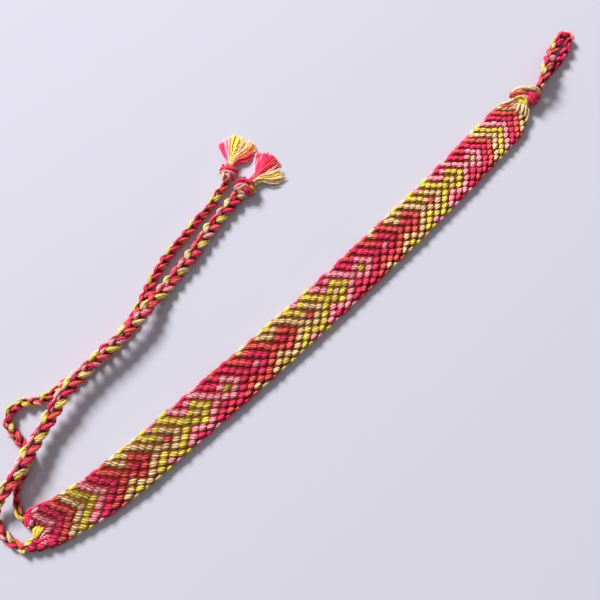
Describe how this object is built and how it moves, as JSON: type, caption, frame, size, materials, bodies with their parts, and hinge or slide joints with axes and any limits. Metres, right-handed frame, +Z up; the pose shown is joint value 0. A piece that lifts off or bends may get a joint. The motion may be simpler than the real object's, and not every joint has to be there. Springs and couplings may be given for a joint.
{
  "type": "friendship bracelet",
  "caption": "Knotted cotton friendship bracelet lying open, with a braided closing loop at one end and braided ties with knots and tassels at the other.",
  "frame": {"origin": "on the surface that the bracelet lies on, under the middle of the box around its band, gather knot and loop", "axes": "+X along the band from its fork towards the closing loop, +Y to the side where the two ties lie, +Z up from the surface"},
  "size_m": [0.1902, 0.0563, 0.0049],
  "materials": {
    "band_cotton": "rows of small knots in matt six-strand cotton, in nested diamonds of pale pink, hot pink, coral, cream and yellow",
    "gather_cotton": "matt cotton strings wrapped and knotted, cream over hot pink",
    "loop_cotton": "matt cotton strings in a small braid, pinks, coral, cream and yellow",
    "tie_a_cotton": "matt cotton strings in a flat braid, yellow, cream, coral and hot pink",
    "tie_b_cotton": "matt cotton strings in a flat braid, hot pink, pale pink, coral, cream and yellow",
    "knot_cotton": "matt cotton strings pulled into a tight overhand knot",
    "tassel_a_cotton": "loose cotton threads with cut ends, mostly yellow, coral and pale pink",
    "tassel_b_cotton": "loose cotton threads with cut ends, mostly hot pink and coral"
  },
  "bodies": {
    "root": {"band": "band_cotton", "gather_knot": "gather_cotton", "loop": "loop_cotton", "tie_a": "tie_a_cotton", "tie_b": "tie_b_cotton", "knot_a": "knot_cotton", "knot_b": "knot_cotton", "tassel_a": "tassel_a_cotton", "tassel_b": "tassel_b_cotton"}
  },
  "joints": []
}
